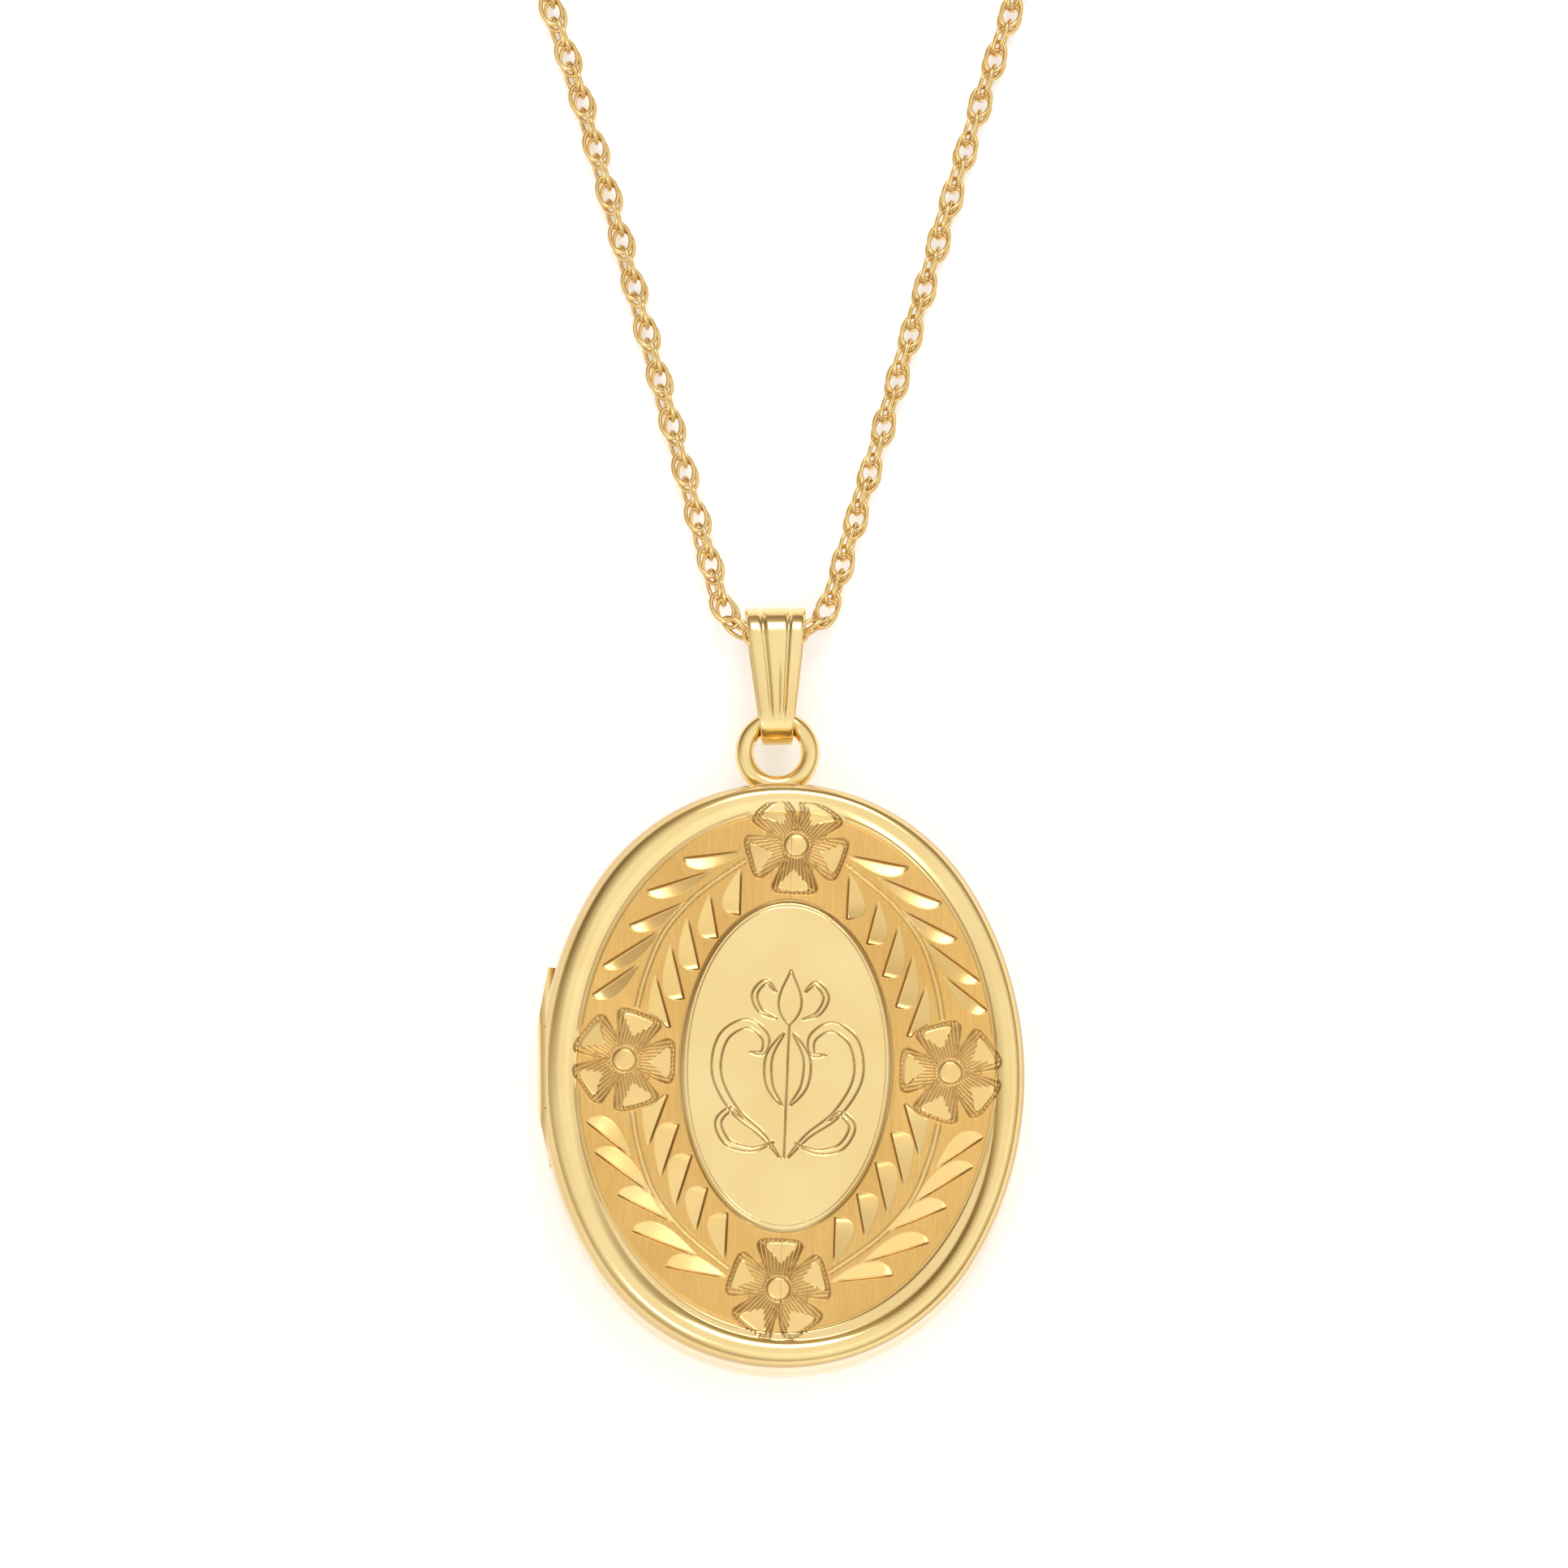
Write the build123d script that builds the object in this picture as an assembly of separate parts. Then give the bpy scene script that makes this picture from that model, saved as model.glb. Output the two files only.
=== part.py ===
from build123d import *
import math
import os

# Oval locket on a chain, millimetres.
# Origin: middle of the flat back face.  +Z leaves the engraved front, +Y points to the hanger ring.
# The hinge is along the -X side.

# ---- driving dimensions: case ----
half_width = 10.15           # outline, across the hinge
half_height = 12.37          # outline, along the chain
end_radius = 9.3             # the outline's two end arcs; the side arcs touch them smoothly
end_arc_y = half_height - end_radius
side_radius = (end_arc_y**2 + half_width**2 - end_radius**2) / (2 * (half_width - end_radius))
side_arc_x = side_radius - half_width
thickness = 5.4              # both halves closed
sheet = 0.4                  # pressed gold sheet
shoulder_radius = 1.4        # rounding of each half's outer edge
seam_gap = 0.05              # daylight between the closed halves

# ---- inner fittings, measured inward from the outline and up from each half's outer face ----
rim_inset = 1.05             # inner face of the closing rim
rim_foot = 1.4
lip_rise = 0.4               # how far the back rim stands into the cover
lip_play = 0.05
front_rim_top = 2.2
photo_inset = 1.5
photo_thickness = 0.15
window_thickness = 0.3
frame_sight_inset = 2.4      # inner edge of the photo frame
frame_skirt = 0.4
frame_flange_low = 1.5
frame_flange_high = 1.9

# ---- hinge ----
hinge_x = -9.78               # the barrel is let into the wall
hinge_flat_x = -9.85          # both walls are cut back to here along the hinge
hinge_middle_y = 0.64
hinge_length = 8.46
middle_knuckle_length = 3.5
knuckle_radius = 0.48
knuckle_play = 0.06
knuckle_end_gap = 0.05
filed_end_inset = 0.5        # how far the outer ends are filed back to the case
pin_radius = 0.25
pin_play = 0.03
pin_length = 5.4

# ---- catch ----
keeper_depth = 0.23
keeper_half_length = 1.0
tongue_sheet = 0.18
tongue_half_length = 1.4
tongue_x = 8.55
tongue_foot = 2.05

# ---- hanger ring and bail ----
hanger_x = 0.0               # middle of the ring and the bail
ring_y = 14.08
ring_z = 2.2
ring_middle_radius = 1.4
ring_wire_radius = 0.4
bail_sheet = 0.32
bail_foot_inner_radius = 0.76
bail_top_inner_radius = 1.18
bail_top_y = 18.95
bail_top_z = 1.5
bail_top_width = 2.6
bail_foot_width = 1.3

# ---- chain ----
chain_radius = 0.55
chain_y = 19.24              # where the chain runs through the bail
chain_z = 1.2
chain_turn_out = 2.0         # from the bail's middle to the turn into each strand
floor_z = 0.56               # chain lying on the surface
strand_far_x = {-1: -9.16, 1: 10.55}
strand_far_y = {-1: 47.7, 1: 47.4}
strand_steps = (3.9, 11.4)   # along each strand, from its turn
strand_step_z = (0.8, floor_z)
approach_length = 10.5       # last straight before the coil
approach_angle = 25.0        # outward from +Y
coil_turn_radius = 6.85      # outermost turn, at its middle
coil_inner_turn_radius = 4.06
tail_runs = (4.0, 3.2, 3.2, 2.8)
tail_heading = (0.0, 20.0, 45.0, 70.0)     # inward from +Y
tail_start_z = 1.65
tail_z = (1.3, floor_z, floor_z, floor_z)
coil_height = 4 * chain_radius

# ---- clasp ----
clasp_radius = 2.3
clasp_tube_radius = 0.45
clasp_bore_radius = 0.3
clasp_trigger_radius = 0.25
clasp_z = clasp_tube_radius
clasp_turn = 180.0 - tail_heading[-1]
clasp_mouth = (200.0, 250.0)     # angles round the ring, where the chain's eye is at 90
clasp_bore_start = 55.0
clasp_socket_end = 262.0
trigger_span = (160.0, 257.0)
spring_span = (58.0, 98.0)
knob_angle = 188.0
knob_radius = 0.2
knob_height = 0.8
slot_span = (124.0, 193.5)
slot_half_height = 0.27
eye_radius = 0.5
eye_wire_radius = 0.18
eye_step = 0.5                   # from the chain's end to the eye's middle
end_ring_radius = 1.1
end_ring_wire_radius = 0.25

seam_z = thickness / 2
half_depth = seam_z - seam_gap / 2
middle_half = middle_knuckle_length / 2
hinge_low_y = hinge_middle_y - hinge_length / 2
hinge_high_y = hinge_middle_y + hinge_length / 2


def oval_face(inset):
    """Four tangent arcs, drawn in from the case outline by inset."""
    small = end_radius - inset
    reach = math.hypot(side_arc_x, end_arc_y)
    join_x = small * side_arc_x / reach
    join_y = end_arc_y + small * end_arc_y / reach
    tip_x = half_width - inset
    tip_y = half_height - inset
    arcs = [
        ThreePointArc((-join_x, join_y), (0, tip_y), (join_x, join_y)),
        ThreePointArc((join_x, join_y), (tip_x, 0), (join_x, -join_y)),
        ThreePointArc((join_x, -join_y), (0, -tip_y), (-join_x, -join_y)),
        ThreePointArc((-join_x, -join_y), (-tip_x, 0), (-join_x, join_y)),
    ]
    return make_face(Wire(arcs))


def oval(inset, low, high):
    """Solid oval disc whose outline is drawn in from the case outline by inset."""
    return Pos(0, 0, low) * extrude(oval_face(inset), high - low)


def oval_ring(outer_inset, inner_inset, low, high):
    return oval(outer_inset, low, high) - oval(inner_inset, low - 1, high + 1)


def to_cover(shape):
    """Mirror a piece of the back half into the cover."""
    return mirror(shape, about=Plane.XY.offset(seam_z))


def barrel(radius, low_y, high_y):
    """Cylinder on the hinge axis."""
    return Pos(hinge_x, low_y, seam_z) * extrude(Plane.XZ * Circle(radius), -(high_y - low_y))


def hinge_notch(own_middle):
    """Room for the knuckles in one half: snug on its own knuckles, free on the other half's."""
    free = knuckle_radius + knuckle_play
    middle = knuckle_radius if own_middle else free
    outer = free if own_middle else knuckle_radius
    low = hinge_middle_y - middle_half
    high = hinge_middle_y + middle_half
    spill = knuckle_end_gap
    middle_spill = 0 if own_middle else spill
    outer_spill = spill if own_middle else 0
    centre = barrel(middle, low - middle_spill, high + middle_spill)
    lower = barrel(outer, hinge_low_y - outer_spill, low + outer_spill)
    upper = barrel(outer, high - outer_spill, hinge_high_y + outer_spill)
    return centre + lower + upper


def hinge_flat():
    """What is cut off each wall so that the barrel can lie in it."""
    length = hinge_length + 2 * knuckle_end_gap
    return Pos(hinge_flat_x - 1, hinge_middle_y, 0) * Box(2, length, 4 * thickness)


def half_shell():
    """One pressed half: rounded outer edge, even wall, open at the seam, flat along the hinge."""
    outer = oval(0, 0, half_depth)
    outer = fillet(outer.edges().group_by(Axis.Z)[0], shoulder_radius)
    inner = oval(sheet, sheet, half_depth + 1)
    inner = fillet(inner.edges().group_by(Axis.Z)[0], shoulder_radius - sheet)
    return outer - inner - hinge_flat()


def photo_frame():
    """Oval frame: a flange over the window's edge, on a skirt that presses on it."""
    skirt_foot = sheet + photo_thickness + window_thickness
    skirt = oval_ring(rim_inset, rim_inset + frame_skirt, skirt_foot, frame_flange_low)
    flange = oval_ring(rim_inset, frame_sight_inset, frame_flange_low, frame_flange_high)
    return skirt + flange


def photo():
    return oval(photo_inset, sheet, sheet + photo_thickness)


def window():
    low = sheet + photo_thickness
    return oval(photo_inset, low, low + window_thickness)


def back_rim():
    """Closing rim: soldered in the back wall, its lip stands into the cover."""
    foot = oval_ring(sheet, rim_inset, rim_foot, half_depth)
    lip = oval_ring(sheet + lip_play, rim_inset, half_depth, seam_z + lip_rise)
    return foot + lip - hinge_notch(own_middle=False)


def front_rim():
    ring = oval_ring(sheet, rim_inset, rim_foot, front_rim_top)
    return to_cover(ring) - hinge_notch(own_middle=True)


def filed_envelope():
    """What is left of the barrel once its two ends are filed down towards the case."""
    outside = hinge_x - knuckle_radius
    filed = outside + filed_end_inset
    inside = hinge_x + 2 * knuckle_radius
    outline = [
        (filed, hinge_low_y),
        (outside, hinge_middle_y - middle_half),
        (outside, hinge_middle_y + middle_half),
        (filed, hinge_high_y),
        (inside, hinge_high_y),
        (inside, hinge_low_y),
    ]
    face = make_face(Polyline(*outline, close=True))
    return Pos(0, 0, seam_z - 1) * extrude(face, 2)


def outer_knuckle(upper):
    """Knuckle of the back half, with a blind hole for the pin."""
    if upper:
        low, high = hinge_middle_y + middle_half, hinge_high_y
    else:
        low, high = hinge_low_y, hinge_middle_y - middle_half
    knuckle = barrel(knuckle_radius, low, high) & filed_envelope()
    return knuckle - hinge_pin()


def middle_knuckle():
    low = hinge_middle_y - middle_half + knuckle_end_gap
    high = hinge_middle_y + middle_half - knuckle_end_gap
    return barrel(knuckle_radius, low, high) - barrel(pin_radius + pin_play, low - 1, high + 1)


def hinge_pin():
    half = pin_length / 2
    return barrel(pin_radius, hinge_middle_y - half, hinge_middle_y + half)


def catch_keeper():
    """Low bead inside the back rim that the tongue clicks past."""
    inner_x = half_width - rim_inset
    bead = Box(2 * keeper_depth, 2 * keeper_half_length, 0.3)
    bead = Pos(inner_x, 0, 2.35) * bead
    return bead & oval(rim_inset, 0, thickness)


def catch_tongue():
    """Spring strip under the cover's frame."""
    top = thickness - frame_flange_high
    strip = Box(tongue_sheet, 2 * tongue_half_length, top - tongue_foot)
    return Pos(tongue_x + tongue_sheet / 2, 0, (top + tongue_foot) / 2) * strip


def hanger_ring():
    """Round ring, its foot sunk a little into the case wall where it is soldered."""
    return Pos(hanger_x, ring_y, ring_z) * Torus(ring_middle_radius, ring_wire_radius)


def belt(foot_radius, top_radius):
    """Outline round two circles in the YZ plane and the two lines that touch both."""
    foot = Vector(ring_y + ring_middle_radius, ring_z)
    top = Vector(bail_top_y, bail_top_z)
    along = (top - foot).normalized()
    across = Vector(-along.Y, along.X)
    lean = math.asin((top_radius - foot_radius) / (top - foot).length)
    corners = []
    for side in (1, -1):
        normal = across * side * math.cos(lean) - along * math.sin(lean)
        corners.append((foot + normal * foot_radius, top + normal * top_radius))
    loop = [corners[0][0], corners[0][1], corners[1][1], corners[1][0]]
    sides = make_face(Polyline(*[(p.X, p.Y) for p in loop], close=True))
    foot_disc = Pos(foot.X, foot.Y) * Circle(foot_radius)
    top_disc = Pos(top.X, top.Y) * Circle(top_radius)
    return sides + foot_disc + top_disc


def bail():
    """Folded strip, wide round the chain and narrow round the ring."""
    outer = belt(bail_foot_inner_radius + bail_sheet, bail_top_inner_radius + bail_sheet)
    inner = belt(bail_foot_inner_radius, bail_top_inner_radius)
    half = bail_top_width / 2
    strip = Pos(hanger_x, 0, 0) * extrude(Plane.YZ * (outer - inner), half, both=True)
    foot_y = ring_y + ring_middle_radius - bail_foot_inner_radius
    top_y = bail_top_y + bail_top_inner_radius
    outline = [
        (hanger_x - bail_foot_width / 2, foot_y - 1),
        (hanger_x + bail_foot_width / 2, foot_y - 1),
        (hanger_x + bail_foot_width / 2, foot_y),
        (hanger_x + half, top_y),
        (hanger_x + half, top_y + 1),
        (hanger_x - half, top_y + 1),
        (hanger_x - half, top_y),
        (hanger_x - bail_foot_width / 2, foot_y),
    ]
    taper = Pos(0, 0, -3) * extrude(make_face(Polyline(*outline, close=True)), 9)
    return strip & taper


def cord_radii(points):
    """Largest tidy arc at each corner: 0.45 of the shorter run over the tangent of half the turn."""
    radii = []
    for before, here, after in zip(points, points[1:], points[2:]):
        turn = math.radians((here - before).get_angle(after - here))
        shorter = min((here - before).length, (after - here).length)
        radii.append(0.45 * shorter / math.tan(turn / 2))
    return radii


def cord_tube(name, points):
    """Chain along a route: straight runs joined by tangent arcs."""
    points = [Vector(*p) for p in points]
    radii = cord_radii(points)
    path = FilletPolyline(*points, radius=radii)
    section = Plane(origin=path @ 0, z_dir=path % 0) * Circle(chain_radius)
    tube = sweep(section, path=path)
    ideal = math.pi * chain_radius**2 * path.length
    shown = ", ".join(f"{r:.1f}" for r in radii)
    print(f"{name}: length {path.length:.1f}, radii {shown}, volume {tube.volume:.2f} of {ideal:.2f}")
    return tube


def strand_points(side):
    """From the middle of the bail, out at one side, down to the surface and on to the coil."""
    turn = Vector(hanger_x + side * chain_turn_out, chain_y, chain_z)
    far = Vector(strand_far_x[side], strand_far_y[side], floor_z)
    level = Vector(far.X - turn.X, far.Y - turn.Y, 0).normalized()
    points = [Vector(hanger_x, chain_y, chain_z), turn]
    for step, z in zip(strand_steps, strand_step_z):
        flat = Vector(turn.X, turn.Y, 0) + level * step
        points.append(Vector(flat.X, flat.Y, z))
    points.append(far)
    lean = math.radians(approach_angle)
    points.append(far + Vector(side * math.sin(lean), math.cos(lean), 0) * approach_length)
    return [(p.X, p.Y, p.Z) for p in points]


def coil_centre(side):
    """Middle of the coil that the strand's last run touches on its outer side."""
    x, y, _ = strand_points(side)[-1]
    lean = math.radians(approach_angle)
    return (x - side * coil_turn_radius * math.cos(lean), y + coil_turn_radius * math.sin(lean))


def coil(side):
    """Outer shape of the wound chain: two layers of turns side by side."""
    x, y = coil_centre(side)
    outer = Cylinder(coil_turn_radius + chain_radius, coil_height)
    inner = Cylinder(coil_inner_turn_radius - chain_radius, coil_height + 1)
    ring = outer - inner
    rims = ring.edges().filter_by(GeomType.CIRCLE)
    return Pos(x, y, coil_height / 2) * fillet(rims, chain_radius * 0.9)


def tail_direction(side, heading):
    turn = math.radians(heading)
    return Vector(-side * math.sin(turn), math.cos(turn), 0)


def tail_points(side):
    """Off the outer side of the coil's top layer, down to the surface and round the coil's far side."""
    x, y = coil_centre(side)
    here = Vector(x + side * coil_turn_radius, y, tail_start_z)
    points = [here]
    for run, heading, z in zip(tail_runs, tail_heading, tail_z):
        step = tail_direction(side, heading) * run
        here = Vector(here.X + step.X, here.Y + step.Y, z)
        points.append(here)
    return [(p.X, p.Y, p.Z) for p in points]


def beyond_chain(side, distance):
    """Point past the chain's end, along its last run."""
    end = Vector(*tail_points(side)[-1])
    point = end + tail_direction(side, tail_heading[-1]) * distance
    return (point.X, point.Y)


def eye_centre():
    return beyond_chain(-1, eye_step)


def clasp_centre():
    return beyond_chain(-1, eye_step + eye_radius + clasp_tube_radius + clasp_radius)


def clasp_arc(section_radius, start, end):
    """Round bar bent along part of the clasp's circle."""
    section = Plane.XZ * (Pos(clasp_radius, 0) * Circle(section_radius))
    bar = revolve(section, Axis.Z, end - start)
    x, y = clasp_centre()
    return Pos(x, y, clasp_z) * Rot(0, 0, clasp_turn + start) * bar


def clasp_body():
    """Ring with a mouth; hollow where the trigger and its spring run."""
    body = clasp_arc(clasp_tube_radius, clasp_mouth[1], clasp_mouth[0] + 360)
    body -= clasp_arc(clasp_bore_radius, clasp_bore_start, clasp_mouth[0] + 2)
    body -= clasp_arc(clasp_bore_radius, clasp_mouth[1] - 2, clasp_socket_end)
    slot_face = Plane.XZ * (Pos(clasp_radius + 0.5, 0) * Rectangle(1.0, 2 * slot_half_height))
    slot = revolve(slot_face, Axis.Z, slot_span[1] - slot_span[0])
    x, y = clasp_centre()
    return body - Pos(x, y, clasp_z) * Rot(0, 0, clasp_turn + slot_span[0]) * slot


def clasp_trigger():
    """Curved bolt that closes the mouth, with its thumb knob."""
    bolt = clasp_arc(clasp_trigger_radius, *trigger_span)
    knob = extrude(Plane.YZ * Circle(knob_radius), knob_height)
    x, y = clasp_centre()
    knob = Pos(x, y, clasp_z) * Rot(0, 0, clasp_turn + knob_angle) * Pos(clasp_radius, 0, 0) * knob
    return bolt + knob


def clasp_spring():
    """Coil spring pushed together, as it is when the trigger is drawn right back."""
    return clasp_arc(clasp_bore_radius - 0.02, *spring_span)


def clasp_eye():
    x, y = eye_centre()
    ring = Pos(x, y, clasp_z) * Torus(eye_radius, eye_wire_radius)
    return ring - clasp_arc(clasp_tube_radius, clasp_mouth[1], clasp_mouth[0] + 360)


def end_ring():
    x, y = beyond_chain(1, end_ring_radius)
    return Pos(x, y, end_ring_wire_radius) * Torus(end_ring_radius, end_ring_wire_radius)


def all_parts():
    shell = half_shell()
    parts = {
        "back_shell": shell - hinge_notch(own_middle=False),
        "back_rim": back_rim(),
        "back_photo": photo(),
        "back_window": window(),
        "back_frame": photo_frame(),
        "hinge_knuckle_upper": outer_knuckle(upper=True),
        "hinge_knuckle_lower": outer_knuckle(upper=False),
        "hinge_pin": hinge_pin(),
        "catch_keeper": catch_keeper(),
        "hanger_ring": hanger_ring(),
        "front_shell": to_cover(shell) - hinge_notch(own_middle=True),
        "front_rim": front_rim(),
        "front_photo": to_cover(photo()),
        "front_window": to_cover(window()),
        "front_frame": to_cover(photo_frame()),
        "hinge_knuckle_middle": middle_knuckle(),
        "catch_tongue": catch_tongue(),
        "bail": bail(),
        "clasp_body": clasp_body(),
        "clasp_spring": clasp_spring(),
        "clasp_eye": clasp_eye(),
        "clasp_trigger": clasp_trigger(),
        "end_ring": end_ring(),
    }
    for name, side in (("left", -1), ("right", 1)):
        parts[f"chain_{name}"] = cord_tube(f"chain_{name}", strand_points(side))
        parts[f"coil_{name}"] = coil(side)
        parts[f"chain_{name}_tail"] = cord_tube(f"chain_{name}_tail", tail_points(side))
    return parts


os.makedirs("parts", exist_ok=True)
for node, shape in all_parts().items():
    export_step(shape, f"parts/{node}.step")
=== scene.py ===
import math

import bpy
import numpy as np
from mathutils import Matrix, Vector


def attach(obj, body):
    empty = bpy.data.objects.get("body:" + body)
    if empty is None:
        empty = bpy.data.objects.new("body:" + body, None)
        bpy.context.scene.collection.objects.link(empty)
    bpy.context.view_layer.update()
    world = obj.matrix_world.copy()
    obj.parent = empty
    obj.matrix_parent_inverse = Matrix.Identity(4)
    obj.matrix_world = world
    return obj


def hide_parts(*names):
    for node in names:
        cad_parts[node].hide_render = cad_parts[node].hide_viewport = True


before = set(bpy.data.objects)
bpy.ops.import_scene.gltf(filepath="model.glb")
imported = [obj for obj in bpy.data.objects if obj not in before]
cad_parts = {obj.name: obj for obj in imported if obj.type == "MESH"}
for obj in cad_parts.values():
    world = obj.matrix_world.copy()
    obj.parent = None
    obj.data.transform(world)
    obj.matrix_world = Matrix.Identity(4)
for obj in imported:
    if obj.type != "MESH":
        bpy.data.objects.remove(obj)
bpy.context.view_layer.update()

# Oval locket lying on its back, its chain laid out in a V.  Sizes below are millimetres unless a
# comment says otherwise; meshes are in metres.
MM = 0.001

# ---- case ----
OUTLINE = (10.15, 12.37)         # half width and half height
END_RADIUS = 9.3                 # the outline's end arcs; its side arcs touch them smoothly
SEAM_Z = 2.7
SEAM_HALF_GAP = 0.025
SHEET = 0.4
HINGE_X = -9.78
HINGE_FLAT_X = -9.85             # the wall is cut back to here along the hinge
HINGE_Y = 0.64
HINGE_LENGTH = 8.46
MIDDLE_KNUCKLE = 3.5
KNUCKLE_RADIUS = 0.48
KNUCKLE_PLAY = 0.06              # gap left round the two knuckles of the back
KNUCKLE_END_PLAY = 0.05

# ---- engraved face ----
FACE_SHIFT = (0.17, 0.078)       # the face was struck a little off the case's centre
FACE_TURN = math.radians(-2.2)
BORDER = (8.76, 11.02)           # line that closes the satin ground
MEDALLION = (4.47, 7.06)         # polished oval in the middle
MEDALLION_CENTRE = (0.0, 0.17)   # from the middle of the border
PATTERN_CENTRE = (0.05, 0.17)
PATTERN_TURN = math.radians(-0.9)
GROUND_Z = 5.16
GROUND_DOME = 0.18
OVERRUN = 0.45                   # how far past the border flowers may be cut
BORDER_REACH = 9.6               # turns a share of the way out to the border into millimetres, roughly


# ---------------------------------------------------------------- materials
def new_material(name):
    """A material with its node tree and its shader."""
    material = bpy.data.materials.new(name)
    material.use_nodes = True
    tree = material.node_tree
    return material, tree, tree.nodes["Principled BSDF"]


def add_node(tree, kind, **settings):
    node = tree.nodes.new(kind)
    for key, value in settings.items():
        setattr(node, key, value)
    return node


def object_noise(tree, scale, stretch=(1, 1, 1), detail=3.0, roughness=0.55):
    """Noise fixed to the piece; scale is per metre, stretch lengthens the grain."""
    place = add_node(tree, "ShaderNodeTexCoord")
    mapping = add_node(tree, "ShaderNodeMapping")
    mapping.inputs["Scale"].default_value = [scale * s for s in stretch]
    noise = add_node(tree, "ShaderNodeTexNoise")
    noise.inputs["Scale"].default_value = 1.0
    noise.inputs["Detail"].default_value = detail
    noise.inputs["Roughness"].default_value = roughness
    tree.links.new(place.outputs["Object"], mapping.inputs["Vector"])
    tree.links.new(mapping.outputs["Vector"], noise.inputs["Vector"])
    return noise.outputs["Fac"]


def ramp(tree, source, stops):
    """Colour ramp: stops are (position, linear RGB)."""
    node = add_node(tree, "ShaderNodeValToRGB")
    elements = node.color_ramp.elements
    while len(elements) < len(stops):
        elements.new(0.5)
    for element, (position, colour) in zip(elements, stops):
        element.position = position
        element.color = (*colour, 1.0)
    tree.links.new(source, node.inputs["Fac"])
    return node.outputs["Color"]


def spread(tree, source, low, high):
    """Stretch a 0..1 value to low..high."""
    node = add_node(tree, "ShaderNodeMapRange")
    node.inputs["To Min"].default_value = low
    node.inputs["To Max"].default_value = high
    tree.links.new(source, node.inputs["Value"])
    return node.outputs["Result"]


def bump(tree, source, distance, strength, before=None):
    """Surface normal with a relief of the given depth in metres, on top of an earlier one if given."""
    node = add_node(tree, "ShaderNodeBump")
    node.inputs["Distance"].default_value = distance
    node.inputs["Strength"].default_value = strength
    tree.links.new(source, node.inputs["Height"])
    if before is not None:
        tree.links.new(before, node.inputs["Normal"])
    return node.outputs["Normal"]


POLISHED = (0.92, 0.715, 0.35)
POLISHED_DEEP = (0.87, 0.65, 0.285)
SATIN = (0.83, 0.54, 0.19)
SATIN_DEEP = (0.77, 0.475, 0.15)
FACET = (0.89, 0.655, 0.28)
FACET_DEEP = (0.84, 0.58, 0.22)


def paint_line_shade(tree, colour, shade=(0.30, 0.15, 0.045)):
    """Paint shade into the base colour: it runs to brown where the line attribute is set, standing for the
    shade in engraved grooves and the dark reflections on the rim's turned shoulder.
    """
    marked = add_node(tree, "ShaderNodeAttribute", attribute_name="line")
    mix = add_node(tree, "ShaderNodeMix", data_type="RGBA")
    tree.links.new(marked.outputs["Fac"], mix.inputs["Factor"])
    tree.links.new(colour, mix.inputs["A"])
    mix.inputs["B"].default_value = (*shade, 1.0)
    return mix.outputs["Result"]


def polished_gold(name, light=POLISHED, deep=POLISHED_DEEP, roughness=(0.10, 0.2), patch=260.0):
    """Hand-polished gold: slow colour drift, faint wiping haze and very fine polishing lines."""
    material, tree, shader = new_material(name)
    shader.inputs["Metallic"].default_value = 1.0
    drift = object_noise(tree, patch, detail=2.0)
    base = ramp(tree, drift, [(0.3, deep), (0.7, light)])
    # Painted shade: the colour runs to brown where the line attribute marks grooves and the rim's turned
    # shoulder.
    tree.links.new(paint_line_shade(tree, base), shader.inputs["Base Color"])
    haze = object_noise(tree, patch * 3.1, stretch=(1, 0.4, 1), detail=4.0)
    tree.links.new(spread(tree, haze, *roughness), shader.inputs["Roughness"])
    lines = object_noise(tree, 9000.0, stretch=(1, 0.12, 1), detail=2.0)
    swell = object_noise(tree, patch * 2.0, detail=1.0)
    swelling = bump(tree, swell, 0.00003, 0.25)
    tree.links.new(bump(tree, lines, 0.000002, 0.25, swelling), shader.inputs["Normal"])
    return material


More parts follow.
